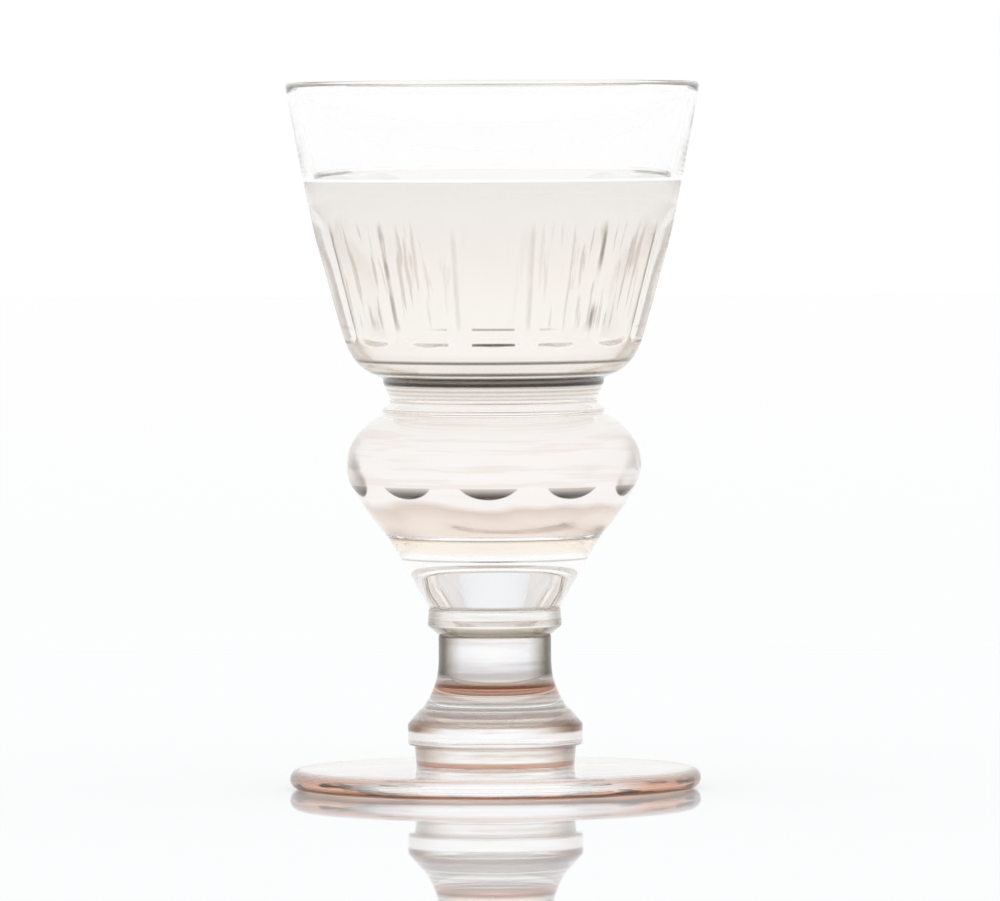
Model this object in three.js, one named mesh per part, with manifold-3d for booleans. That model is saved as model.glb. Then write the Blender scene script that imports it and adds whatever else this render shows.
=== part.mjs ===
// Absinthe glass with a bulb reservoir under its cup, standing on its foot.
// Millimetres, +Z up, the origin is the middle of the foot's underside.
// Five pieces of hot glass stand one on top of the other: foot, lower knop, stem, collar ring, bowl.

import * as THREE from 'three';
import { mergeVertices } from 'three/addons/utils/BufferGeometryUtils.js';
import Module from 'manifold-3d';

// Foot: a low disc with a fully rounded edge and a slightly raised middle
const footRadius = 43.7;
const footEdge = 4.2;
const footCrown = 0.8;
const footSeatRadius = 17.6;

// Lower knop: a narrow band, a wider band above it and a sloping shoulder
const knopFootRadius = 16.8;
const knopUnderRadius = 17.2;
const knopUnderHeight = 4.2;
const knopRadius = 18.6;
const knopBandHeight = 4.9;
const knopRound = 0.7;
const knopTopRadius = 15.9;
const knopShoulderHeight = 2.7;

// Stem: a plain shaft with a flare at its lower end
const shaftRadius = 12.0;
const shaftHeight = 4.8;
const flareHeight = 10.8;
const flareLean = 127;

// Collar ring: a flat band over a short taper
const collarRadius = 14.25;
const collarTopRadius = 14.0;
const collarTaperHeight = 2.5;
const collarBandHeight = 3.3;
const collarRound = 0.8;

// Where two pieces were joined hot, the upper one is set in from the edge of the lower one
const seamStep = 0.25;

// Bowl, outside: a solid cone, the reservoir bulb, a bead, the neck and the cup
const coneRadius = 22.6;
const coneHeight = 15.3;
const bulbRadius = 31.3;
const bulbRise = 15.1;
const bulbLean = 44;
const bulbPull = 0.22;
const shoulderRadius = 24.0;
const shoulderRise = 10.7;
const shoulderLean = 152;
const beadRadius = 23.65;
const beadRound = 0.95;
const beadFrom = -55;
const beadTo = 62;
const beadRise = 1.0;
const grooveRadius = 21.95;
const grooveRise = 2.5;
const grooveLean = 152;
const neckRadius = 23.55;
const neckRise = 4.3;
const neckLean = 70;
const neckTopLean = 86;
const stepRadius = 24.2;
const stepRise = 0.4;
const stepLean = 18;
const cupBottomRadius = 31.5;
const cupBottomRise = 7.5;
const cupLean = 72;
const rimRadius = 43.9;
const rimRise = 55.0;
const rimLean = 80;

// Bowl, inside: a dished reservoir floor over thick glass, and the walls up to the lip
const floorGlass = 16.0;
const floorDish = 1.3;
const floorRadius = 18.6;
const floorPull = 0.26;
const bulbWall = 3.2;
const boreRadius = 19.6;
const boreDrop = 1.6;
const borePull = 0.34;
const cupWall = 3.2;
const cupLift = 1.5;
const rimWall = 1.8;

// Flutes ground into the outside of the cup with a round wheel
const fluteCount = 14;
const fluteWidth = 12.6;
const fluteWheelRadius = 60;
const fluteLength = 30.0;
const fluteBottomRun = 3.0;
const fluteTopRun = 8.0;

// Raised ovals round the bulb, each with a bold lower edge and a top that fades into the wall
const ovalCount = 10;
const ovalTurn = -2.3;
const ovalDrop = 1.4;
const ovalHeight = 1.5;
const ovalSunk = 2.1;
const ovalAcross = 7.5;
const ovalUpright = 6.3;
const ovalLean = 16;

// Facets round the axis, and steps along each curved stretch of an outline
const facets = 56;
const wheelFacets = 120;
const ovalFacets = 24;
const sweepSteps = 5;
const wallSteps = 3;
const lipSteps = 6;
const roundSteps = 2;

// How far a cutter reaches past the surface that it leaves
const cutterClear = 0.15;

const wasm = await Module();
wasm.setup();

// Levels, from the table up
const knopBottom = footEdge + footCrown;
const knopTop = knopBottom + knopUnderHeight + knopBandHeight + knopShoulderHeight;
const collarBottom = knopTop + flareHeight + shaftHeight;
const bowlBottom = collarBottom + collarTaperHeight + collarBandHeight;
const coneTop = bowlBottom + coneHeight;
const bulbMiddle = coneTop + bulbRise;
const shoulderTop = bulbMiddle + shoulderRise;
const beadMiddle = shoulderTop + beadRise;
const grooveMiddle = beadMiddle + grooveRise;
const neckTop = grooveMiddle + neckRise;
const cupBottom = neckTop + stepRise + cupBottomRise;
const rimTop = cupBottom + rimRise;
const floorLevel = bowlBottom + floorGlass;

const radians = THREE.MathUtils.degToRad;

// A point of an outline: its distance from the axis and its height
function at(radius, height) {
  return new THREE.Vector2(radius, height);
}

// Part of a circle in an outline, from one angle to another
function arc(centre, radius, from, to, steps) {
  const clockwise = to < from;
  const curve = new THREE.EllipseCurve(centre.x, centre.y, radius, radius, radians(from), radians(to), clockwise);
  return curve.getPoints(steps);
}

// A smooth stretch that leaves one point and reaches another along stated directions
function sweep(from, leaving, to, arriving, steps = sweepSteps, pull = 0.37) {
  const reach = pull * from.distanceTo(to);
  const away = at(Math.cos(radians(leaving)), Math.sin(radians(leaving)));
  const home = at(Math.cos(radians(arriving)), Math.sin(radians(arriving)));
  const first = from.clone().addScaledVector(away, reach);
  const second = to.clone().addScaledVector(home, -reach);
  return new THREE.CubicBezierCurve(from, first, second, to).getPoints(steps);
}

// A geometry's closed surface: shared corners merged, and the triangles lost at a pole dropped
function closed(geometry) {
  const bare = geometry.clone();
  bare.deleteAttribute('normal');
  bare.deleteAttribute('uv');
  const merged = mergeVertices(bare, 1e-4);
  const corners = merged.index.array;
  const kept = [];
  for (let i = 0; i < corners.length; i += 3) {
    const [a, b, c] = corners.slice(i, i + 3);
    if (a !== b && b !== c && c !== a) kept.push(a, b, c);
  }
  merged.setIndex(kept);
  return merged;
}

// A solid turned about Z from an outline that runs up its outside
function turned(points, steps = facets) {
  const apart = points.filter((p, i) => i === 0 || p.distanceTo(points[i - 1]) > 1e-3);
  return closed(new THREE.LatheGeometry(apart, steps).rotateX(Math.PI / 2));
}

function toSolid(geometry) {
  const vertProperties = new Float32Array(geometry.attributes.position.array);
  const triVerts = new Uint32Array(geometry.index.array);
  return new wasm.Manifold(new wasm.Mesh({ numProp: 3, vertProperties, triVerts }));
}

function toGeometry(solid) {
  const mesh = solid.getMesh();
  const geometry = new THREE.BufferGeometry();
  geometry.setAttribute('position', new THREE.BufferAttribute(mesh.vertProperties, 3));
  geometry.setIndex(new THREE.BufferAttribute(mesh.triVerts, 1));
  return geometry;
}

// Where an outline passes a height on its way up, and which way its surface faces there
function surfaceAt(outline, height) {
  const next = outline.findIndex((p, i) => i > 0 && outline[i - 1].y < height && p.y >= height);
  const a = outline[next - 1];
  const b = outline[next];
  const share = (height - a.y) / (b.y - a.y);
  const along = b.clone().sub(a).normalize();
  return { point: a.clone().lerp(b, share), outward: at(along.y, -along.x) };
}

function footShape() {
  const half = footEdge / 2;
  return turned([
    at(0, 0),
    ...arc(at(footRadius - half, half), half, -90, 90, lipSteps),
    at(footSeatRadius, knopBottom),
    at(0, knopBottom),
  ]);
}

function knopShape() {
  const bandBottom = knopBottom + knopUnderHeight;
  const bandTop = bandBottom + knopBandHeight;
  return turned([
    at(0, knopBottom),
    at(knopFootRadius, knopBottom),
    at(knopUnderRadius, bandBottom),
    ...arc(at(knopRadius - knopRound, bandBottom + knopRound), knopRound, -60, 0, roundSteps),
    ...arc(at(knopRadius - knopRound, bandTop - knopRound), knopRound, 0, 45, roundSteps),
    at(knopTopRadius, knopTop),
    at(0, knopTop),
  ]);
}

function stemShape() {
  const flareTop = at(shaftRadius, knopTop + flareHeight);
  return turned([
    at(0, knopTop),
    ...sweep(at(knopTopRadius - seamStep, knopTop), flareLean, flareTop, 90),
    at(shaftRadius, collarBottom),
    at(0, collarBottom),
  ]);
}

function collarShape() {
  const bandBottom = collarBottom + collarTaperHeight;
  return turned([
    at(0, collarBottom),
    at(shaftRadius - seamStep, collarBottom),
    ...arc(at(collarRadius - collarRound, bandBottom), collarRound, -50, 0, roundSteps),
    at(collarTopRadius, bowlBottom),
    at(0, bowlBottom),
  ]);
}

// The bowl's outside, from the edge of its seat on the collar ring up to the lip
function bowlOutside() {
  const cone = at(coneRadius, coneTop);
  const bulb = at(bulbRadius, bulbMiddle);
  const shoulder = at(shoulderRadius, shoulderTop);
  const bead = arc(at(beadRadius - beadRound, beadMiddle), beadRound, beadFrom, beadTo, roundSteps + 1);
  const groove = at(grooveRadius, grooveMiddle);
  const neck = at(neckRadius, neckTop);
  const step = at(stepRadius, neckTop + stepRise);
  const cup = at(cupBottomRadius, cupBottom);
  return [
    at(collarTopRadius - seamStep, bowlBottom),
    ...sweep(cone, bulbLean, bulb, 90, sweepSteps, bulbPull),
    ...sweep(bulb, 90, shoulder, shoulderLean),
    ...bead,
    ...sweep(bead.at(-1), grooveLean, groove, 90, roundSteps),
    ...sweep(groove, neckLean, neck, neckTopLean, roundSteps + 1),
    ...sweep(step, stepLean, cup, cupLean),
    ...sweep(cup, cupLean, at(rimRadius, rimTop - rimWall / 2), rimLean, wallSteps),
  ];
}

// The bowl's hollow, from the middle of the reservoir's floor up through the mouth
function bowlHollow() {
  const floor = at(floorRadius, floorLevel);
  const bulb = at(bulbRadius - bulbWall, bulbMiddle);
  const bore = at(boreRadius, neckTop - boreDrop);
  const cup = at(cupBottomRadius - cupWall, cupBottom + cupLift);
  const lip = at(rimRadius - rimWall, rimTop - rimWall / 2);
  return turned([
    ...sweep(at(0, floorLevel - floorDish), 0, floor, 0, roundSteps + 1),
    ...sweep(floor, 0, bulb, 90, sweepSteps, floorPull),
    ...sweep(bulb, 90, bore, 90, sweepSteps, borePull),
    ...sweep(bore, 90, cup, cupLean),
    ...sweep(cup, cupLean, lip, rimLean, wallSteps),
    at(lip.x, rimTop + rimWall),
    at(0, rimTop + rimWall),
  ]);
}

// One flute's cutter: the grinding wheel's track, tapered out at both ends, upright at the origin
function fluteTrack(depth) {
  const left = (share) => fluteWheelRadius - (depth + cutterClear) * share * share;
  const points = [at(0, 0)];
  for (let i = 0; i <= roundSteps + 1; i += 1) {
    const share = 1 - i / (roundSteps + 1);
    points.push(at(left(share), fluteBottomRun * (1 - share)));
  }
  for (let i = 0; i <= roundSteps + 1; i += 1) {
    const share = i / (roundSteps + 1);
    points.push(at(left(share), fluteLength - fluteTopRun * (1 - share)));
  }
  points.push(at(0, fluteLength));
  return turned(points, wheelFacets);
}

// All flutes' cutters, laid against the cup's wall between its lower corner and its clear upper band
function fluteCutters(outside) {
  const low = surfaceAt(outside, cupBottom).point;
  const high = surfaceAt(outside, cupBottom + fluteLength * Math.sin(radians(cupLean))).point;
  const middle = low.clone().lerp(high, 0.5);
  const half = fluteWidth / 2;
  const rise = (radius) => radius - Math.sqrt(radius * radius - half * half);
  const depth = rise(middle.x) + rise(fluteWheelRadius);
  const along = high.clone().sub(low).normalize();
  const centre = low.clone().add(at(along.y, -along.x).multiplyScalar(fluteWheelRadius - depth));
  const track = fluteTrack(depth).rotateY(Math.atan2(along.x, along.y)).translate(centre.x, 0, centre.y);
  return around(toSolid(track), fluteCount, -90);
}

// All raised ovals: flat domes sunk into the bulb's wall, leaning so that their lower edges stand out
function ovals(outside) {
  const { point, outward } = surfaceAt(outside, bulbMiddle - ovalDrop);
  const centre = point.clone().addScaledVector(outward, -ovalSunk);
  const dome = closed(new THREE.SphereGeometry(1, ovalFacets, ovalFacets / 2).rotateX(Math.PI / 2))
    .scale(ovalSunk + ovalHeight, ovalAcross, ovalUpright)
    .rotateY(-Math.atan2(outward.y, outward.x) - radians(ovalLean))
    .translate(centre.x, 0, centre.y);
  return around(toSolid(dome), ovalCount, -90 + ovalTurn);
}

// Copies of a solid set evenly round the axis, the first one at the given angle
function around(solid, count, start) {
  const copies = [];
  for (let i = 0; i < count; i += 1) copies.push(solid.rotate([0, 0, start + (i * 360) / count]));
  return copies;
}

function bowlShape() {
  const outside = bowlOutside();
  const lip = arc(at(rimRadius - rimWall / 2, rimTop - rimWall / 2), rimWall / 2, 0, 180, lipSteps);
  let bowl = toSolid(turned([at(0, bowlBottom), ...outside, ...lip, at(0, rimTop - rimWall / 2)]));
  for (const oval of ovals(outside)) bowl = bowl.add(oval);
  bowl = bowl.subtract(toSolid(bowlHollow()));
  for (const cutter of fluteCutters(outside)) bowl = bowl.subtract(cutter);
  return toGeometry(bowl);
}

// Clear glass, the same in every piece
function piece(name, geometry) {
  const clearGlass = new THREE.MeshStandardMaterial({
    color: 0xf2f6f5,
    roughness: 0.05,
    metalness: 0,
    transparent: true,
    opacity: 0.35,
  });
  const mesh = new THREE.Mesh(geometry, clearGlass);
  mesh.name = name;
  return mesh;
}

const glass = new THREE.Group();
glass.add(piece('foot', footShape()));
glass.add(piece('lower_knop', knopShape()));
glass.add(piece('stem', stemShape()));
glass.add(piece('collar_ring', collarShape()));
glass.add(piece('bowl', bowlShape()));

export default glass;
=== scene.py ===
# Absinthe glass with a milky drink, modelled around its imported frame.
# Metres and +Z up. Outlines are written in millimetres: distance from the axis, then height.

import math

import bpy
import numpy as np
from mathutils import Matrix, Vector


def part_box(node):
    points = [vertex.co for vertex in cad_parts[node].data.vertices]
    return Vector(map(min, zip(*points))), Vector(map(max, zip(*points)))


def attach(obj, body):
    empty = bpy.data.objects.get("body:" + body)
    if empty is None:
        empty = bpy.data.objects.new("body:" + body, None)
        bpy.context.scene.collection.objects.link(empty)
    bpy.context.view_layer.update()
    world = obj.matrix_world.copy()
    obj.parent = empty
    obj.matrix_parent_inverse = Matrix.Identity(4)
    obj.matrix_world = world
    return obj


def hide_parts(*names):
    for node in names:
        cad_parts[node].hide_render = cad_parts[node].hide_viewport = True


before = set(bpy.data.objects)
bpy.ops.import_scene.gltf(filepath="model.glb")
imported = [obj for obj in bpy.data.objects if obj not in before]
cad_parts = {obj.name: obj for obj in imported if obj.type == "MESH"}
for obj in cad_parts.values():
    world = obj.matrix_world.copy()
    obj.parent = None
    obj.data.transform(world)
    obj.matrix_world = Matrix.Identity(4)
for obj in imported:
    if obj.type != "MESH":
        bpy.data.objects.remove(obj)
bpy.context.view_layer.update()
print("frame loaded")

mm = 0.001

# Levels where one piece stands on the next, read from the frame
level = {
    "footTop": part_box("foot")[1].z / mm,
    "knopTop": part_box("lower_knop")[1].z / mm,
    "stemTop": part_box("stem")[1].z / mm,
    "collarTop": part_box("collar_ring")[1].z / mm,
    "rim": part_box("bowl")[1].z / mm,
}


# Helpers
def linear(hexColour):
    parts = [int(hexColour[i:i + 2], 16) / 255 for i in (1, 3, 5)]
    return [c / 12.92 if c <= 0.04045 else ((c + 0.055) / 1.055) ** 2.4 for c in parts] + [1.0]


def addNode(tree, kind, settings=None, links=None):
    node = tree.nodes.new(kind)
    for key, value in (settings or {}).items():
        if isinstance(key, str) and hasattr(node, key):
            setattr(node, key, value)
        else:
            node.inputs[key].default_value = value
    for socket, source in (links or {}).items():
        tree.links.new(source, node.inputs[socket])
    return node


def arc(centre, radius, start, end, steps):
    turns = np.radians(np.linspace(start, end, steps + 1))
    return [(centre[0] + radius * math.cos(t), centre[1] + radius * math.sin(t)) for t in turns]


# A smooth stretch from one point to another, which leaves and arrives in the stated directions
def sweep(start, leaving, end, arriving, steps, pull=0.37):
    reach = pull * math.dist(start, end)
    away = np.array([math.cos(math.radians(leaving)), math.sin(math.radians(leaving))])
    home = np.array([math.cos(math.radians(arriving)), math.sin(math.radians(arriving))])
    a = np.array(start, float)
    d = np.array(end, float)
    b = a + reach * away
    c = d - reach * home
    out = []
    for t in np.linspace(0, 1, steps + 1):
        out.append(tuple(a * (1 - t) ** 3 + 3 * b * t * (1 - t) ** 2 + 3 * c * t * t * (1 - t) + d * t ** 3))
    return out


def straight(start, end, steps):
    a = np.array(start)
    b = np.array(end)
    return [tuple(a + (b - a) * t) for t in np.linspace(0, 1, steps + 1)]


# A solid of revolution: its outline is drawn as a curve, made a mesh and screwed all the way round
def turned(name, outline, columns):
    points = [outline[0]]
    for p in outline[1:]:
        if math.dist(p, points[-1]) > 0.004:
            points.append(p)
    bpy.ops.object.select_all(action="DESELECT")
    bpy.ops.curve.primitive_nurbs_path_add(location=(0, 0, 0))
    piece = bpy.context.object
    piece.name = name
    piece.data.splines.clear()
    spline = piece.data.splines.new("POLY")
    spline.points.add(len(points) - 1)
    for spot, (radius, height) in zip(spline.points, points):
        spot.co = (radius * mm, 0, height * mm, 1)
    bpy.ops.object.convert(target="MESH")
    piece.data.name = name
    bpy.ops.object.modifier_add(type="SCREW")
    screw = piece.modifiers[0]
    screw.steps = columns
    screw.render_steps = columns
    screw.use_merge_vertices = True
    screw.merge_threshold = 0.002 * mm
    bpy.ops.object.modifier_apply(modifier=screw.name)
    bpy.ops.object.mode_set(mode="EDIT")
    bpy.ops.mesh.select_all(action="SELECT")
    bpy.ops.mesh.remove_doubles(threshold=0.002 * mm)
    bpy.ops.mesh.normals_make_consistent(inside=False)
    bpy.ops.object.mode_set(mode="OBJECT")
    return piece


def readPoints(piece):
    flat = np.empty(len(piece.data.vertices) * 3)
    piece.data.vertices.foreach_get("co", flat)
    return flat.reshape(-1, 3) / mm


def writePoints(piece, points):
    piece.data.vertices.foreach_set("co", (points * mm).ravel())
    piece.data.update()


# Rows of equal features round the bowl, which its shape and its material share
flutes = {
    "count": 14, "turn": 0, "low": 94.2, "high": 123.5, "depth": 0.48,
    "width": 12.6, "wheel": 60.0, "length": 31.0, "bottomRun": 2.6, "topRun": 14.0, "soft": 0.02,
}
ovals = {
    "count": 10, "turn": -2.3, "middle": 67.2, "height": 0.65, "across": 6.7, "upright": 5.1,
    "fade": 1.3, "skew": 0.6,
}


# Materials
index = {"glass": 1.5, "drink": 1.34}
white = (1, 1, 1, 1)

# Kinds of uneven detail: scale per metre, detail, and squeeze along Z, which makes level streaks
grains = {
    "waves": (90.0, 1.0, 1), "drawLines": (420.0, 2.0, 0.3), "footWander": (60.0, 2.0, 1),
    "footStreaks": (95.0, 3.0, 7), "edgeStreaks": (45.0, 3.0, 12), "bulbStreaks": (34.0, 4.0, 16),
    "bulbWave": (70.0, 1.0, 1), "ridgeShadeBreaks": (55.0, 2.0, 1), "drawn": (2.6, 3.0, 1),
}


def startMaterial(name):
    material = bpy.data.materials.new(name)
    material.use_nodes = True
    return material, material.node_tree, material.node_tree.nodes["Principled BSDF"]


# One step of arithmetic on numbers or sockets
def calc(tree, operation, *values):
    node = addNode(tree, "ShaderNodeMath", {"operation": operation})
    for socket, value in zip(node.inputs, values):
        if isinstance(value, bpy.types.NodeSocket):
            tree.links.new(value, socket)
        else:
            socket.default_value = value
    return node.outputs[0]


def times(tree, *values):
    out = values[0]
    for value in values[1:]:
        out = calc(tree, "MULTIPLY", out, value)
    return out


# One colour over another by a share
def blend(tree, share, under, over, kind="MIX"):
    node = addNode(tree, "ShaderNodeMix", {"data_type": "RGBA", "blend_type": kind})
    for socket, value in ((node.inputs["Factor"], share), (node.inputs[6], under), (node.inputs[7], over)):
        if isinstance(value, bpy.types.NodeSocket):
            tree.links.new(value, socket)
        else:
            socket.default_value = value
    return node.outputs[2]


# Two tints one after the other
def through(tree, first, second):
    return blend(tree, 1.0, first, second, "MULTIPLY")


# The object's own coordinates, whole and taken apart
def placeIn(tree):
    place = addNode(tree, "ShaderNodeTexCoord").outputs["Object"]
    return place, addNode(tree, "ShaderNodeSeparateXYZ", None, {"Vector": place}).outputs


# The same, and the distance from the axis in metres
def upAndOut(tree):
    place, apart = placeIn(tree)
    squares = [calc(tree, "POWER", apart[axis], 2) for axis in ("X", "Y")]
    return place, apart, calc(tree, "SQRT", calc(tree, "ADD", *squares))


def noise(tree, place, kind):
    scale, detail, squeeze = grains[kind]
    squeezed = addNode(tree, "ShaderNodeMapping", {"Scale": (1, 1, squeeze)}, {"Vector": place})
    settings = {"Scale": scale, "Detail": detail}
    return addNode(tree, "ShaderNodeTexNoise", settings, {"Vector": squeezed.outputs[0]}).outputs[0]


# A smooth grey curve over a number: black up to the first end and white from the second one on
def rise(tree, source, low, high):
    settings = {"interpolation_type": "SMOOTHSTEP", "From Min": low, "From Max": high}
    return addNode(tree, "ShaderNodeMapRange", settings, {"Value": source}).outputs["Result"]


# Colours along a number between 0 and 1
def ramp(tree, source, stops):
    node = addNode(tree, "ShaderNodeValToRGB", None, {"Fac": source})
    band = node.color_ramp
    band.elements[0].position = stops[0][0]
    band.elements[1].position = stops[-1][0]
    for stop in stops[1:-1]:
        band.elements.new(stop[0])
    for stop, (place, hexColour) in zip(band.elements, stops):
        stop.color = linear(hexColour)
    return node.outputs["Color"]


# Colours along a length in metres, with their stops in millimetres
def rampUp(tree, length, stops):
    low = stops[0][0]
    high = stops[-1][0]
    ends = {"From Min": low * mm, "From Max": high * mm}
    share = addNode(tree, "ShaderNodeMapRange", ends, {"Value": length}).outputs["Result"]
    return ramp(tree, share, [((at - low) / (high - low), colour) for at, colour in stops])


# Sideways place in millimetres within one share of a row of equal features round the axis
def sideways(tree, apart, radius, row):
    period = math.tau / row["count"]
    turn = calc(tree, "ARCTAN2", apart["Y"], apart["X"])
    turn = calc(tree, "ADD", turn, math.pi / 2 - math.radians(row["turn"]))
    near = calc(tree, "WRAP", turn, period / 2, -period / 2)
    return times(tree, near, radius, 1 / mm)


# The outer skin's tint counts where a ray enters the wall and not where it leaves, because the milk
# hides the far side's marks. Backfacing tells the two apart.
def onEntry(tree, tint):
    side = addNode(tree, "ShaderNodeNewGeometry")
    return blend(tree, side.outputs["Backfacing"], through(tree, tint, tint), white)


# How far glass is turned from the ray that meets it, for the painted dark edges of thick glass
def facingShare(tree):
    return addNode(tree, "ShaderNodeLayerWeight", {"Blend": 0.5}).outputs["Facing"]


# Pressed and fire-polished glass: long shallow waves left by the mould, and fine upright draw lines.
# Both bend what is seen through the glass a little, so that its lines aren't ruler-straight.
pressed = {"lineShare": 0.12, "depth": 0.018}


def clearGlassMaterial(name, ior):
    material, tree, shader = startMaterial(name)
    shader.inputs["Base Color"].default_value = white
    shader.inputs["Roughness"].default_value = 0.0
    shader.inputs["IOR"].default_value = ior
    shader.inputs["Transmission Weight"].default_value = 1.0
    place = addNode(tree, "ShaderNodeTexCoord").outputs["Object"]
    waves = noise(tree, place, "waves")
    height = calc(tree, "MULTIPLY_ADD", noise(tree, place, "drawLines"), pressed["lineShare"], waves)
    settings = {"Strength": 1.0, "Distance": pressed["depth"] * mm}
    bump = addNode(tree, "ShaderNodeBump", settings, {"Height": height})
    tree.links.new(bump.outputs[0], shader.inputs["Normal"])
    return material, tree, shader


# Glass against the drink bends light less. The drink's cloudiness softens what is seen across it,
# which this wall stands in for: most in the cup and the bulb, not in the neck or over the floor.
def wettedGlassMaterial():
    ior = index["glass"] / index["drink"]
    material, tree, shader = clearGlassMaterial("pressed_clear_glass_wetted", ior)
    place, apart = placeIn(tree)
    tree.links.new(rampUp(tree, apart["Z"], cloudiness), shader.inputs["Roughness"])
    return material


# The foot's edge: lines of brown and salmon, a painted reflection of the sheet that its lower half
# picks up, and dark streaks of painted shade. Lengths are in millimetres, and pairs are where a mark
# starts and where it is full.
footMarks = {
    "wander": 0.7, "streaks": (0.5, 0.58), "bottom": (0.3, 0.8), "top": (3.4, 2.2), "inner": (39.5, 41.5),
    "grazing": (0.05, 0.4), "streakColour": "#5A4638",
}


def footGlassMaterial():
    material, tree, shader = clearGlassMaterial("pressed_clear_glass_foot", index["glass"])
    place, apart, radius = upAndOut(tree)
    z = calc(tree, "MULTIPLY", apart["Z"], 1 / mm)
    wander = calc(tree, "MULTIPLY", noise(tree, place, "footWander"), footMarks["wander"] * mm)
    lines = rampUp(tree, calc(tree, "ADD", apart["Z"], wander), footLines)
    # dark streaks of painted shade low on the edge
    streaks = rise(tree, noise(tree, place, "footStreaks"), *footMarks["streaks"])
    dark = times(tree, streaks, rise(tree, z, *footMarks["bottom"]), rise(tree, z, *footMarks["top"]))
    lines = blend(tree, dark, lines, linear(footMarks["streakColour"]))
    outer = rise(tree, calc(tree, "MULTIPLY", radius, 1 / mm), *footMarks["inner"])
    share = times(tree, outer, rise(tree, facingShare(tree), *footMarks["grazing"]))
    tree.links.new(onEntry(tree, blend(tree, share, white, lines)), shader.inputs["Base Color"])
    return material


# Painted edge shade: thick turned glass darkens smoothly to brown where light grazes it, which Layer
# Weight stands for. Level lines of painted shade and painted warm light, and fine streaks in the
# edge shade, fixed to the piece, break it up.
def edgedGlassMaterial(name, edge, streaked, rows, sides):
    material, tree, shader = clearGlassMaterial(name, index["glass"])
    place, apart = placeIn(tree)
    edges = ramp(tree, facingShare(tree), edge)
    marks = ramp(tree, noise(tree, place, "edgeStreaks"), edgeStreaks)
    tint = blend(tree, streaked, edges, through(tree, edges, marks))
    tint = blend(tree, rampUp(tree, apart["Z"], sides), white, tint)
    tint = through(tree, tint, rampUp(tree, apart["Z"], rows))
    tree.links.new(onEntry(tree, tint), shader.inputs["Base Color"])
    return material


# The bowl's outer skin: clear, with dark lines of painted shade fixed to it, for the dark that bent
# and totally reflected light draws in glass: at the neck, along the lower edges of the ovals, on the
# ridges between the flutes and where the flutes end. Heights and widths are in millimetres, the rest
# are shares, and pairs are where a mark starts and where it is full.
bowlMarks = {
    "shadeWave": 6.0,
    "streaks": (0.52, 0.62), "streaksBottom": (62, 65), "streaksTop": (81, 78), "streakColour": "#FAF6F3",
    "crescentAcross": 7.4, "crescentUp": 5.0, "crescentEdge": (1.0, 0.88),
    "groups": 4.0, "ridgeBottom": (97, 100), "ridgeTop": (122, 117), "ridgeWidth": (0.8, 0.15),
    "ridgeShadeBreaks": (0.36, 0.52), "ridgeColour": "#A39D94",
    "drawnTurn": 9.0, "drawnUp": 22.0, "drawn": (0.53, 0.62), "drawnShare": 0.7, "drawnColour": "#CFCAC3",
    "dashWidth": (4.8, 4.2), "dashGroup": (-0.4, 1.0),
}


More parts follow.
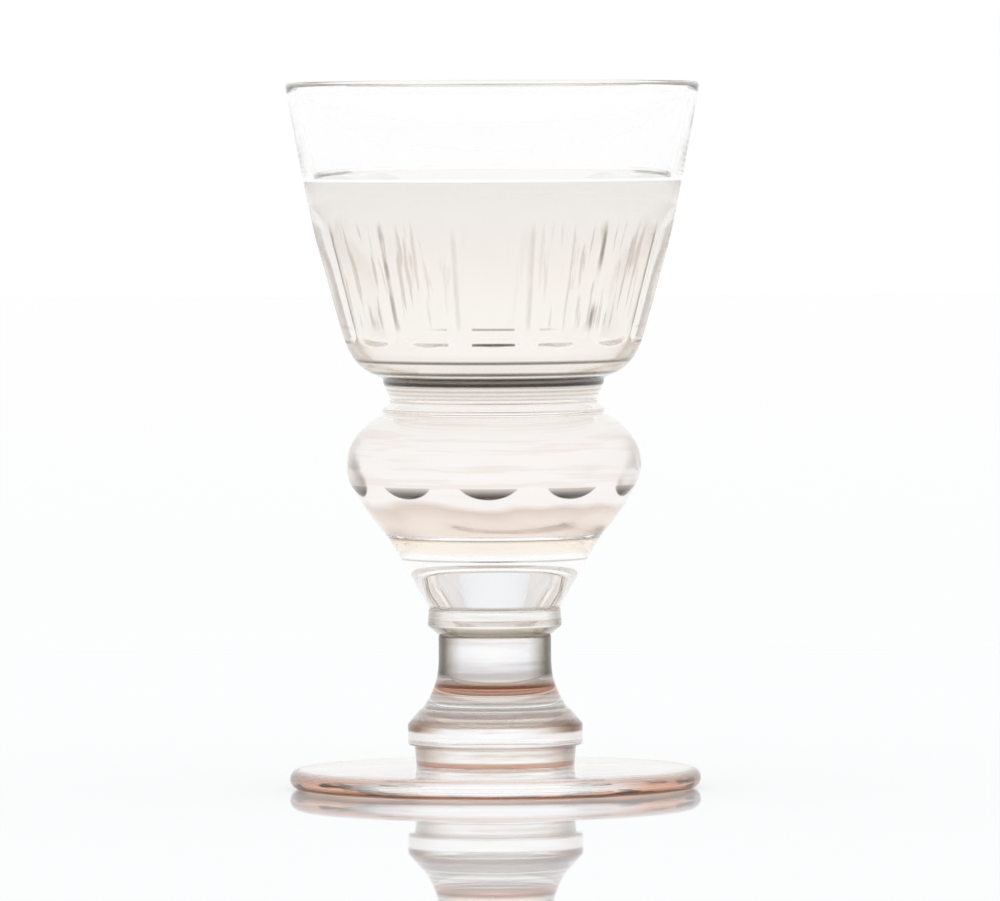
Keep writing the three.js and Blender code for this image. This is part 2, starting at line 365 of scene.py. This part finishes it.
def bowlGlassMaterial():
    material, tree, shader = clearGlassMaterial("pressed_clear_glass_bowl", index["glass"])
    place, apart, radius = upAndOut(tree)
    height = apart["Z"]
    z = calc(tree, "MULTIPLY", height, 1 / mm)
    tint = through(tree, rampUp(tree, height, neckLines), rampUp(tree, height, coneLines))
    # bulb: a soft warm painted shade towards the cone, with a wavy upper edge and faint level streaks
    wave = noise(tree, place, "bulbWave")
    shifted = calc(tree, "MULTIPLY_ADD", wave, bowlMarks["shadeWave"] * mm, height)
    tint = through(tree, tint, rampUp(tree, shifted, bulbShade))
    streaks = times(tree, rise(tree, noise(tree, place, "bulbStreaks"), *bowlMarks["streaks"]),
                    rise(tree, z, *bowlMarks["streaksBottom"]), rise(tree, z, *bowlMarks["streaksTop"]))
    tint = blend(tree, streaks, tint, linear(bowlMarks["streakColour"]))
    # crescents of painted shade: the part of each oval below a level chord
    side = sideways(tree, apart, radius, ovals)
    up = calc(tree, "SUBTRACT", z, ovals["middle"])
    across = calc(tree, "POWER", calc(tree, "DIVIDE", side, bowlMarks["crescentAcross"]), 2)
    upright = calc(tree, "POWER", calc(tree, "DIVIDE", up, bowlMarks["crescentUp"]), 2)
    inside = rise(tree, calc(tree, "ADD", across, upright), *bowlMarks["crescentEdge"])
    tint = blend(tree, inside, tint, through(tree, tint, rampUp(tree, height, crescent)))
    # painted shade lines on the ridges between the flutes, stronger on some than on others, in groups round
    # the cup
    side = calc(tree, "ABSOLUTE", sideways(tree, apart, radius, flutes))
    turn = calc(tree, "ARCTAN2", apart["Y"], apart["X"])
    group = calc(tree, "COSINE", calc(tree, "MULTIPLY", turn, bowlMarks["groups"]))
    ridgeShadeStrength = calc(tree, "MULTIPLY_ADD", group, -0.5, 0.5)
    span = times(tree, rise(tree, z, *bowlMarks["ridgeBottom"]),
                 rise(tree, z, *bowlMarks["ridgeTop"]), ridgeShadeStrength)
    half = calc(tree, "MULTIPLY", radius, math.pi / flutes["count"] / mm)
    crest = rise(tree, calc(tree, "SUBTRACT", half, side), *bowlMarks["ridgeWidth"])
    shadeBreaks = rise(tree, noise(tree, place, "ridgeShadeBreaks"), *bowlMarks["ridgeShadeBreaks"])
    tint = blend(tree, times(tree, crest, shadeBreaks, span), tint, linear(bowlMarks["ridgeColour"]))
    # fine upright lines of painted shade down the wall beside them
    x = calc(tree, "MULTIPLY", turn, bowlMarks["drawnTurn"])
    y = calc(tree, "MULTIPLY", height, bowlMarks["drawnUp"])
    along = addNode(tree, "ShaderNodeCombineXYZ", None, {"X": x, "Y": y}).outputs[0]
    drawn = rise(tree, noise(tree, along, "drawn"), *bowlMarks["drawn"])
    fine = times(tree, drawn, span, bowlMarks["drawnShare"])
    tint = blend(tree, fine, tint, linear(bowlMarks["drawnColour"]))
    # dashes of painted shade at the flutes' lower ends, boldest where the ridges' painted shade is weakest
    dash = times(tree, rise(tree, side, *bowlMarks["dashWidth"]), rise(tree, group, *bowlMarks["dashGroup"]))
    tint = blend(tree, dash, tint, through(tree, tint, rampUp(tree, height, dashes)))
    tree.links.new(onEntry(tree, tint), shader.inputs["Base Color"])
    return material


# Where two pieces were joined hot the glass is one, and nothing shows
def hotJointMaterial():
    material, tree, shader = startMaterial("hot_joint_inside_glass")
    shader.inputs["Alpha"].default_value = 0.0
    return material


# Milky drink: warm and clear low down, greyer and cloudier under its surface, with slow swirls.
# Its colour is met once on the way in and once on the way out.
milk = {"scale": 45.0, "detail": 3.0, "distortion": 1.2, "swirl": 12.0, "cloud": (92, 118)}


def drinkMaterial(name, ior, cloud):
    material, tree, shader = startMaterial(name)
    shader.inputs["Roughness"].default_value = 0.0
    shader.inputs["IOR"].default_value = ior
    place, apart = placeIn(tree)
    settings = {"Scale": milk["scale"], "Detail": milk["detail"], "Distortion": milk["distortion"]}
    swirl = addNode(tree, "ShaderNodeTexNoise", settings, {"Vector": place}).outputs[0]
    up = calc(tree, "MULTIPLY_ADD", swirl, milk["swirl"] * mm, apart["Z"])
    tree.links.new(rampUp(tree, up, drinkColours), shader.inputs["Base Color"])
    # cloudiest near the top, clear in the neck
    back = addNode(tree, "ShaderNodeNewGeometry").outputs["Backfacing"]
    z = calc(tree, "MULTIPLY", apart["Z"], 1 / mm)
    kept = times(tree, rise(tree, z, *milk["cloud"]), cloud, calc(tree, "SUBTRACT", 1.0, back))
    tree.links.new(calc(tree, "SUBTRACT", 1.0, kept), shader.inputs["Transmission Weight"])
    return material


# Colours by height above the table, in millimetres
cloudiness = [
    (50.0, "#000000"), (57.2, "#000000"), (62.0, "#A0A0A0"), (76.4, "#A0A0A0"), (80.4, "#000000"),
    (91.6, "#000000"), (96.4, "#7A7A7A"), (130.0, "#8C8C8C"),
]
# the foot edge's painted reflection of the sheet, brown and salmon
footLines = [
    (0.0, "#C8907A"), (0.3, "#F2C0A8"), (0.6, "#B07C62"), (1.0, "#7E5640"), (1.3, "#C08C70"),
    (2.0, "#F0BEA6"), (2.7, "#D8A896"), (3.6, "#DCBCAE"), (4.3, "#F0E4DC"), (5.0, "#FFFFFF"),
]
# painted on the cone: a warm band of painted light from the sheet seen through it, between thin lines
# of painted shade, and a painted shade line where the cone stands on the collar ring
coneLines = [
    (37.8, "#FFFFFF"), (38.3, "#D8D6D2"), (38.7, "#D8D6D2"), (39.1, "#FFFFFF"), (48.6, "#FFFFFF"),
    (48.9, "#C8C6C2"), (49.2, "#FFFFFF"), (50.0, "#FFFFFF"), (50.5, "#FEF7EE"), (52.8, "#FEF4E8"),
    (53.2, "#E6DCD0"), (53.45, "#A09A92"), (53.7, "#F0ECE8"), (54.0, "#FFFFFF"), (54.6, "#FFFFFF"),
]
# painted warm shade low on the bulb
bulbShade = [
    (55.5, "#FFFFFF"), (57.0, "#FCF6F0"), (60.5, "#F6EEE8"), (62.9, "#E4D9D1"), (64.4, "#FFFFFF"),
    (68.0, "#FFFFFF"),
]
# dark lines of painted shade round the neck, where light is totally reflected inside the glass
neckLines = [
    (82.0, "#FFFFFF"), (83.4, "#FFFFFF"), (83.9, "#D4D2CE"), (84.3, "#F4F2F0"), (84.8, "#CBC9C4"),
    (85.2, "#F6F5F3"), (85.7, "#F2F0EE"), (85.85, "#827F78"), (86.0, "#3A3832"), (86.4, "#3C3A34"),
    (86.6, "#66635D"), (86.8, "#88857D"), (87.0, "#7C7973"), (87.2, "#44423C"), (87.45, "#403E38"),
    (87.65, "#94918B"), (87.85, "#F4F2F0"), (88.1, "#FAF9F7"), (88.3, "#8E8B85"), (88.55, "#6A6761"),
    (88.8, "#A6A39D"), (89.1, "#F6F5F3"), (90.6, "#F8F7F5"), (90.85, "#A09D97"), (91.1, "#75726C"),
    (91.35, "#C9C7C3"), (91.6, "#F8F7F5"), (93.0, "#FFFFFF"),
]
# painted shade in the crescents under the ovals
crescent = [
    (62.0, "#8A857F"), (62.5, "#6E6963"), (63.0, "#57524D"), (63.7, "#8F8A84"), (64.3, "#C4BEB9"),
    (64.7, "#DEDAD6"), (64.8, "#FFFFFF"), (65.0, "#FFFFFF"),
]
# painted shade dashes where the flutes end
dashes = [
    (94.0, "#FFFFFF"), (94.6, "#FFFFFF"), (94.85, "#7A756F"), (95.15, "#7A756F"), (95.4, "#FFFFFF"),
    (97.9, "#FFFFFF"), (98.15, "#BDB9B4"), (98.35, "#BDB9B4"), (98.6, "#FFFFFF"), (99.0, "#FFFFFF"),
]
# painted level lines on the stem: grey lines of shade, and an orange band of painted warm light from the
# sheet
stemRows = [
    (16.8, "#FFFFFF"), (17.2, "#C0BFBB"), (17.6, "#D8D7D4"), (18.1, "#FFFFFF"), (18.5, "#D0C8C4"),
    (18.9, "#FFFFFF"), (19.6, "#E6DAD4"), (20.0, "#F6EEEA"), (20.4, "#D8B8A8"), (20.9, "#F2C4A8"),
    (21.4, "#F0B798"), (21.8, "#9A5634"), (22.2, "#AE7A56"), (22.5, "#E8C8B0"), (22.9, "#F6F0E8"),
    (23.4, "#EEEAE4"), (23.8, "#D6D6D8"), (24.6, "#E5E5E7"), (26.0, "#F0F2F5"), (28.0, "#FBFCFD"),
    (33.0, "#FFFFFF"),
]
# painted lines on the knop: a salmon band of painted warm light from the sheet at its foot, and grey shade
# lines
knopRows = [
    (5.0, "#DDBBAB"), (5.9, "#DDBBAB"), (6.2, "#FFFFFF"), (8.4, "#FFFFFF"), (8.8, "#D8CCC4"),
    (9.3, "#F4F0EE"), (10.2, "#FFFFFF"), (14.2, "#FFFFFF"), (14.6, "#D8CFCA"), (15.2, "#FFFFFF"),
    (17.0, "#FFFFFF"),
]
# one grey line of painted shade on the collar ring
collarRows = [
    (32.8, "#FFFFFF"), (33.0, "#FFFFFF"), (33.2, "#E4E2DE"), (33.4, "#FFFFFF"), (37.8, "#FFFFFF"),
]
drinkColours = [
    (55.0, "#FAF2EC"), (63.0, "#F8F0EA"), (71.0, "#FDFAF8"), (83.8, "#FBF7F3"), (100.6, "#FAF5F0"),
    (112.6, "#FAF6F0"), (119.8, "#FAF3ED"), (127.8, "#F6F1EC"), (135.0, "#F1EEEA"),
]
# How strongly the painted edge shade shows at each height
stemSides = [
    (16.8, "#303030"), (19.0, "#505050"), (21.0, "#707070"), (23.5, "#A0A0A0"), (24.5, "#FFFFFF"),
    (33.0, "#FFFFFF"),
]
knopSides = [
    (5.0, "#C8C8C8"), (8.6, "#E0E0E0"), (9.4, "#D0D0D0"), (9.9, "#909090"), (12.0, "#909090"),
    (12.5, "#FFFFFF"), (14.1, "#FFFFFF"), (15.0, "#D0D0D0"), (17.0, "#D0D0D0"),
]
collarSides = [(32.8, "#FFFFFF"), (37.8, "#FFFFFF")]
# Painted edge shade: colours from glass that light meets square on to glass that it grazes
stemEdge = [
    (0.0, "#FFFFFF"), (0.2, "#F4F5F7"), (0.36, "#C8C4BC"), (0.55, "#6A6050"), (0.75, "#463C30"),
    (1.0, "#382E24"),
]
knopEdge = [(0.0, "#FFFFFF"), (0.2, "#F0EFEE"), (0.36, "#D2C4BA"), (0.55, "#96765F"), (1.0, "#8A7260")]
collarEdge = [(0.0, "#FFFFFF"), (0.36, "#F6F5F2"), (0.6, "#C4C0B8"), (1.0, "#C0BCB4")]
# fine streaks that break up the painted edge shade
edgeStreaks = [(0.35, "#B49C8C"), (0.5, "#EEE4DC"), (0.6, "#FFFFFF")]

wetGlass = wettedGlassMaterial()
footGlass = footGlassMaterial()
stemGlass = edgedGlassMaterial("pressed_clear_glass_stem", stemEdge, 0.35, stemRows, stemSides)
knopGlass = edgedGlassMaterial("pressed_clear_glass_knop", knopEdge, 0.8, knopRows, knopSides)
collarGlass = edgedGlassMaterial("pressed_clear_glass_collar", collarEdge, 0.3, collarRows, collarSides)
bowlGlass = bowlGlassMaterial()
hotJoint = hotJointMaterial()
print("materials made")


# Every flat face where two pieces were joined hot gets the joint material, so the glass looks fused
def finishGlass(piece, joints, glass):
    mesh = piece.data
    mesh.materials.append(glass)
    mesh.materials.append(hotJoint)
    bpy.ops.object.select_all(action="DESELECT")
    piece.select_set(True)
    bpy.context.view_layer.objects.active = piece
    bpy.ops.object.shade_smooth()
    for face in mesh.polygons:
        z = face.center.z / mm
        r = math.hypot(*face.center[:2]) / mm
        flat = abs(face.normal.z) > 0.999
        if flat and any(abs(z - joint) < 0.01 and reach > r for joint, reach in joints):
            face.material_index = 1
            face.use_smooth = False
    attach(piece, "root")


columns = 280

# Foot: a low disc with a fully rounded edge
foot = {"radius": 43.7, "edge": 4.2, "seat": 17.6}


def makeFoot():
    half = foot["edge"] / 2
    top = level["footTop"]
    outline = straight((0, 0), (foot["radius"] - half, 0), 20)
    outline += arc((foot["radius"] - half, half), half, -90, 90, 24)
    outline += straight((foot["radius"] - half, foot["edge"]), (foot["seat"], top), 24)
    outline += straight((foot["seat"], top), (knop["foot"], top), 2)
    outline += straight((knop["foot"], top), (0, top), 6)
    piece = turned("glass_foot", outline, columns)
    finishGlass(piece, [(top, knop["foot"] + 0.02)], footGlass)
    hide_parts("foot")


# Lower knop: a narrow band, a wider band and a sloping shoulder
knop = {
    "foot": 16.8, "under": 17.2, "underHeight": 4.2, "radius": 18.6, "band": 4.9, "round": 0.7,
    "top": 15.9,
}


def makeKnop():
    low = level["footTop"]
    high = level["knopTop"]
    bandLow = low + knop["underHeight"]
    bandHigh = bandLow + knop["band"]
    inner = knop["radius"] - knop["round"]
    outline = straight((0, low), (knop["foot"], low), 4)
    outline += straight((knop["foot"], low), (knop["under"], bandLow), 12)
    outline += arc((inner, bandLow + knop["round"]), knop["round"], -60, 0, 8)
    outline += arc((inner, bandHigh - knop["round"]), knop["round"], 0, 45, 8)
    outline += straight(outline[-1], (knop["top"], high), 8)
    outline += straight((knop["top"], high), (stem["bottom"], high), 1)
    outline += straight((stem["bottom"], high), (0, high), 4)
    piece = turned("glass_lower_knop", outline, columns)
    finishGlass(piece, [(low, knop["foot"] + 1), (high, stem["bottom"] + 0.02)], knopGlass)
    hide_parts("lower_knop")


# Stem: a plain shaft that flares out at its lower end
stem = {"bottom": 15.65, "radius": 12.0, "flare": 10.8, "lean": 127}


def makeStem():
    low = level["knopTop"]
    high = level["stemTop"]
    flareTop = (stem["radius"], low + stem["flare"])
    outline = straight((0, low), (stem["bottom"], low), 4)
    outline += sweep((stem["bottom"], low), stem["lean"], flareTop, 90, 36)
    outline += straight(flareTop, (stem["radius"], high), 10)
    outline += straight((stem["radius"], high), (collar["bottom"], high), 1)
    outline += straight((collar["bottom"], high), (0, high), 4)
    piece = turned("glass_stem", outline, columns)
    finishGlass(piece, [(low, stem["bottom"] + 1), (high, collar["bottom"] + 0.02)], stemGlass)
    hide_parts("stem")


# Collar ring: a flat band over a short taper
collar = {"bottom": 11.75, "radius": 14.25, "taper": 2.5, "round": 0.8, "top": 14.0}


def makeCollar():
    low = level["stemTop"]
    high = level["collarTop"]
    outline = straight((0, low), (collar["bottom"], low), 4)
    outline += arc((collar["radius"] - collar["round"], low + collar["taper"]), collar["round"], -50, 0, 10)
    outline += straight(outline[-1], (collar["top"], high), 6)
    outline += straight((collar["top"], high), (bowl["seat"], high), 1)
    outline += straight((bowl["seat"], high), (0, high), 4)
    piece = turned("glass_collar_ring", outline, columns)
    finishGlass(piece, [(low, collar["bottom"] + 1), (high, bowl["seat"] + 0.02)], collarGlass)
    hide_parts("collar_ring")


# Bowl: solid cone, reservoir bulb, bead, neck and cup
bowl = {
    "seat": 13.75,
    "cone": (22.6, 53.5), "bulb": (31.3, 68.6), "bulbLean": 44, "bulbPull": 0.22,
    "shoulder": (24.0, 79.3), "shoulderLean": 152, "bead": (22.7, 80.3), "beadRound": 0.95,
    "groove": (21.95, 82.8), "neckTop": (23.55, 87.1), "step": (24.2, 87.5), "stepLean": 18,
    "cup": (31.5, 95.0), "cupLean": 72,
    "rim": 43.9, "rimLean": 80, "rimWall": 1.8,
    "cupInside": (28.3, 96.5), "bore": (19.6, 85.5), "bulbInside": (28.1, 68.6),
    "floor": (18.6, 54.2), "dish": 1.3,
}


def bowlOutside():
    lipLow = (bowl["rim"], level["rim"] - bowl["rimWall"] / 2)
    outline = straight((bowl["seat"], level["collarTop"]), bowl["cone"], 24)
    outline += sweep(bowl["cone"], bowl["bulbLean"], bowl["bulb"], 90, 80, bowl["bulbPull"])
    outline += sweep(bowl["bulb"], 90, bowl["shoulder"], bowl["shoulderLean"], 26)
    outline += arc(bowl["bead"], bowl["beadRound"], -55, 62, 12)
    outline += sweep(outline[-1], 152, bowl["groove"], 90, 10)
    outline += sweep(bowl["groove"], 70, bowl["neckTop"], 86, 14)
    outline += sweep(bowl["neckTop"], 40, bowl["step"], bowl["stepLean"], 6)
    outline += sweep(bowl["step"], bowl["stepLean"], bowl["cup"], bowl["cupLean"], 40)
    wall = sweep(bowl["cup"], bowl["cupLean"], lipLow, bowl["rimLean"], 90)
    outline += [p for i, p in enumerate(wall) if p[1] < 98.5 or 114 < p[1] < 126 or i % 3 == 0]
    return outline


def bowlInside():
    rim = bowl["rim"] - bowl["rimWall"]
    lip = (rim, level["rim"] - bowl["rimWall"] / 2)
    cup = bowl["cupInside"]
    neck = bowl["bore"]
    bulb = bowl["bulbInside"]
    outline = sweep(lip, bowl["rimLean"] - 180, cup, bowl["cupLean"] - 180, 20)
    outline += sweep(cup, bowl["cupLean"] - 180, neck, -90, 20)
    outline += sweep(neck, -90, bulb, -90, 20, 0.34)
    outline += sweep(bulb, -90, bowl["floor"], -180, 24, 0.26)
    outline += sweep(bowl["floor"], -180, (0, bowl["floor"][1] - bowl["dish"]), -180, 12)
    return outline


def outlineAt(outline, height):
    for a, b in zip(outline, outline[1:]):
        if a[1] < height <= b[1]:
            share = (height - a[1]) / (b[1] - a[1])
            along = np.array([b[0] - a[0], b[1] - a[1]])
            along /= np.linalg.norm(along)
            return np.array([a[0] + share * (b[0] - a[0]), height]), along


def soften(depth, soft):
    return soft * np.logaddexp(0, depth / soft)


# Radial and sideways distance of each point within its own share of a row of equal features
def inShares(points, row):
    r = np.hypot(points[:, 0], points[:, 1])
    turn = np.arctan2(points[:, 1], points[:, 0]) + math.pi / 2 - math.radians(row["turn"])
    period = math.tau / row["count"]
    near = (turn + period / 2) % period - period / 2
    return turn - near, r * np.cos(near), r * np.sin(near)


def outOfShares(share, radial, side, z, row):
    r = np.hypot(radial, side)
    turn = share + np.arctan2(side, radial) - math.pi / 2 + math.radians(row["turn"])
    return np.column_stack([r * np.cos(turn), r * np.sin(turn), z])


# Flutes are moved into the spun wall by formula: cutters would leave slivers that glass shows
def grindFlutes(points, outline):
    share, radial, side = inShares(points, flutes)
    low = outlineAt(outline, flutes["low"])[0]
    high = outlineAt(outline, flutes["high"])[0]
    half = flutes["width"] / 2
    wheel = flutes["wheel"]
    wall = (low[0] + high[0]) / 2
    depth = flutes["depth"]
    along = (high - low) / np.linalg.norm(high - low)
    out = np.array([along[1], -along[0]])
    centre = low + out * (wheel - depth)
    h = (radial - centre[0]) * along[0] + (points[:, 2] - centre[1]) * along[1]
    q = (radial - centre[0]) * out[0] + (points[:, 2] - centre[1]) * out[1]
    lowShare = np.maximum(0, 1 - h / flutes["bottomRun"])
    highShare = np.maximum(0, (h - flutes["length"] + flutes["topRun"]) / flutes["topRun"])
    reach = wheel - (depth + 0.15) * (lowShare ** 2 + highShare ** 2)
    # the wheel's curve is stretched sideways so that neighbouring flutes meet in a ridge
    bend = (depth - wall + math.sqrt(wall ** 2 - half ** 2)) / half ** 2
    inside = q + reach - bend * side ** 2
    move = np.where(reach > np.abs(side), soften(inside, flutes["soft"]), 0)
    return outOfShares(share, radial - out[0] * move, side, points[:, 2] - out[1] * move, flutes)


# Raised ovals: the lower edge stands out boldly and the top fades into the wall
def raiseOvals(points, outline):
    share, radial, side = inShares(points, ovals)
    low = outlineAt(outline, ovals["middle"] - 4)[0]
    high = outlineAt(outline, ovals["middle"] + 4)[0]
    middle = outlineAt(outline, ovals["middle"])[0]
    along = (high - low) / np.linalg.norm(high - low)
    out = np.array([along[1], -along[0]])
    up = ((radial - middle[0]) * along[0] + (points[:, 2] - middle[1]) * along[1]) / ovals["upright"]
    inside = np.maximum(0, 1 - (side / ovals["across"]) ** 2 - np.where(up > 0, up / ovals["fade"], up) ** 2)
    ease = np.clip((up + 0.5) / 1.3, 0, 1)
    power = 0.75 + 1.6 * ease ** 2 * (3 - 2 * ease)
    move = ovals["height"] * inside ** power * (1 - ovals["skew"] * np.clip(up, -1, 1))
    return outOfShares(share, radial + out[0] * move, side, points[:, 2] + out[1] * move, ovals)


def makeBowl():
    outside = bowlOutside()
    half = bowl["rimWall"] / 2
    lip = arc((bowl["rim"] - half, level["rim"] - half), half, 0, 180, 12)
    seat = straight((0, level["collarTop"]), (bowl["seat"], level["collarTop"]), 4)
    piece = turned("glass_bowl", seat + outside + lip + bowlInside(), columns)
    points = readPoints(piece)
    radii = np.hypot(points[:, 0], points[:, 1])
    # only the outer skin is pressed: it lies outside the middle of the wall
    outer = np.array(outside)
    order = np.argsort(outer[:, 1], kind="stable")
    skin = np.interp(points[:, 2], outer[order, 1], outer[order, 0])
    pressed = (np.abs(radii - skin) < 0.02) & (points[:, 2] > bowl["cone"][1])
    points[pressed] = grindFlutes(points[pressed], outside)
    points[pressed] = raiseOvals(points[pressed], outside)
    writePoints(piece, points)
    finishGlass(piece, [(level["collarTop"], bowl["seat"] + 1)], bowlGlass)
    # the inner wall under the drink bends light less, as glass against liquid does
    piece.data.materials.append(wetGlass)
    inner = np.array(bowlInside())[::-1]
    order = np.argsort(inner[:, 1], kind="stable")
    for face in piece.data.polygons:
        r = math.hypot(*face.center[:2]) / mm
        z = face.center.z / mm
        wall = np.interp(z, inner[order, 1], inner[order, 0]) if z > bowl["floor"][1] else 50
        if z > bowl["floor"][1] - 1 and z < drink["level"] + drink["rise"] and r < wall + 0.3:
            face.material_index = 2
    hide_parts("bowl")
    print("bowl", len(piece.data.polygons))


# Drink: its skin lies just inside the glass and has a curved edge at the top
drink = {"level": 129.4, "rise": 0.01, "reach": 0.3, "gap": 0.05, "sideCloud": 0.06, "topCloud": 0.2}


def makeDrink():
    inside = np.array(bowlInside())
    steps = np.gradient(inside, axis=0)
    lengths = np.linalg.norm(steps, axis=1)
    keep = lengths > 1e-6
    inside = inside[keep]
    steps = steps[keep] / lengths[keep][:, None]
    # the inner wall runs down, so the drink is on the right-hand side of its direction
    wall = inside + np.column_stack([steps[:, 1], -steps[:, 0]]) * drink["gap"]
    wall[-1, 0] = 0
    top = drink["level"] + drink["rise"]
    edge = np.interp(-top, -wall[:60, 1], wall[:60, 0])
    surface = [(0, drink["level"])]
    for t in np.linspace(0, 1, 16)[1:]:
        surface.append((edge - drink["reach"] * (1 - t), drink["level"] + drink["rise"] * t ** 3))
    rest = [tuple(p) for p in wall if p[1] < top - 0.2]
    piece = turned("milky_drink", surface + rest, 140)
    # its sides meet the wall's own bend of light, and only its surface bends light itself
    piece.data.materials.append(drinkMaterial("milky_drink_in_glass", 1.0, drink["sideCloud"]))
    piece.data.materials.append(drinkMaterial("milky_drink_top", index["drink"], drink["topCloud"]))
    bpy.ops.object.shade_smooth()
    for face in piece.data.polygons:
        if face.normal.z > 0.3 and face.center.z > drink["level"] * mm - 0.001:
            face.material_index = 1
    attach(piece, "root")
    print("drink", len(piece.data.polygons))


makeFoot()
makeKnop()
makeStem()
makeCollar()
makeBowl()
makeDrink()
print("glass and drink modelled")


# Floor, light and camera
# The sheet: sizes in metres, and reaches from the glass in millimetres
sheet = {
    "size": 8, "drop": 0.15, "roughness": 0.01, "pale": "#F7FAFC", "paleReach": (0.8, 3.0),
    "salmon": "#E0BBA8", "salmonRoughness": 0.08, "salmonShare": 0.12, "salmonReach": (38, 42),
}
floorGlow = [(0, "#F0DED2"), (30, "#F8EEE7"), (45, "#FCF9F6"), (75, "#FDFCFB"), (300, "#FDFDFD")]


def makeFloor():
    bpy.ops.object.select_all(action="DESELECT")
    bpy.ops.mesh.primitive_plane_add(size=sheet["size"], location=(0, 0, -sheet["drop"] * mm))
    floor = bpy.context.object
    floor.name = "studio_floor"
    material, tree, shader = startMaterial("gloss_white_acrylic_sheet")
    shader.inputs["Roughness"].default_value = sheet["roughness"]
    # the sheet is warm near the foot, a painted glow of light through the foot, which only the glass shows
    place = addNode(tree, "ShaderNodeTexCoord").outputs["Object"]
    reach = addNode(tree, "ShaderNodeVectorMath", {"operation": "LENGTH"}, {0: place}).outputs["Value"]
    glow = rampUp(tree, reach, floorGlow)
    rays = addNode(tree, "ShaderNodeLightPath")
    pale = blend(tree, rise(tree, reach, *sheet["paleReach"]), linear(sheet["pale"]), white)
    tree.links.new(blend(tree, rays.outputs["Is Camera Ray"], glow, pale), shader.inputs["Base Color"])
    # right under the foot the sheet's mirror is tinted salmon, a painted warm reflection, which shows in
    # the glass and its reflection
    settings = {"Color": linear(sheet["salmon"]), "Roughness": sheet["salmonRoughness"]}
    under = addNode(tree, "ShaderNodeBsdfAnisotropic", settings)
    beyond = rise(tree, calc(tree, "MULTIPLY", reach, 1 / mm), *sheet["salmonReach"])
    near = calc(tree, "SUBTRACT", sheet["salmonShare"], beyond)
    both = addNode(tree, "ShaderNodeMixShader", None, {0: near, 1: shader.outputs[0], 2: under.outputs[0]})
    tree.links.new(both.outputs[0], tree.nodes["Material Output"].inputs["Surface"])
    floor.data.materials.append(material)


# A white tent with a grey roof right over the glass, which only glass shows: it draws soft lines in
# it. Everything else is lit by plain white. Places are the upward share of a direction: the tent is
# white up to 33 degrees, then a paler blue-grey.
tentColours = [(0.0, "#FFFFFF"), (0.55, "#FFFFFF"), (0.75, "#F1F4F9"), (1.0, "#EFF1F2")]
roof = {"colour": "#E2E1DE", "edge": (0.898, 0.922)}


def makeWorld():
    world = bpy.data.worlds.new("studio_tent")
    bpy.context.scene.world = world
    world.use_nodes = True
    tree = world.node_tree
    tree.nodes.clear()
    way = addNode(tree, "ShaderNodeTexCoord")
    apart = addNode(tree, "ShaderNodeSeparateXYZ", None, {"Vector": way.outputs["Generated"]})
    tent = ramp(tree, apart.outputs["Z"], tentColours)
    studio = blend(tree, rise(tree, apart.outputs["Z"], *roof["edge"]), tent, linear(roof["colour"]))
    rays = addNode(tree, "ShaderNodeLightPath").outputs
    seen = calc(tree, "MAXIMUM", rays["Is Transmission Ray"], rays["Is Glossy Ray"])
    colour = blend(tree, seen, white, studio)
    light = addNode(tree, "ShaderNodeBackground", {"Strength": 1.0}, {"Color": colour})
    addNode(tree, "ShaderNodeOutputWorld", None, {"Surface": light.outputs[0]})


# Places and the far end in metres, lens and film in millimetres, roll in degrees
shot = {
    "place": (0, -2.7, 0.175), "aim": (0.0018, 0, 0.0717), "lens": 458, "film": 36, "roll": 0.28, "far": 20,
}


def makeCamera():
    data = bpy.data.cameras.new("camera")
    data.sensor_width = shot["film"]
    data.lens = shot["lens"]
    data.clip_end = shot["far"]
    camera = bpy.data.objects.new("camera", data)
    bpy.context.scene.collection.objects.link(camera)
    forward = np.array(shot["aim"]) - np.array(shot["place"])
    pitch = math.atan2(forward[2], math.hypot(forward[0], forward[1]))
    turn = math.atan2(-forward[0], forward[1])
    camera.location = shot["place"]
    camera.rotation_euler = (math.pi / 2 + pitch, math.radians(shot["roll"]), turn)
    bpy.context.scene.camera = camera


makeFloor()
makeWorld()
makeCamera()
# light crosses many glass walls here before it gets out
walls = 48
paths = bpy.context.scene.cycles
paths.max_bounces = walls
paths.transmission_bounces = walls
paths.transparent_max_bounces = walls
paths.glossy_bounces = walls // 2
paths.diffuse_bounces = 8
bpy.context.scene.view_settings.view_transform = "Standard"
print("floor, light and camera set")
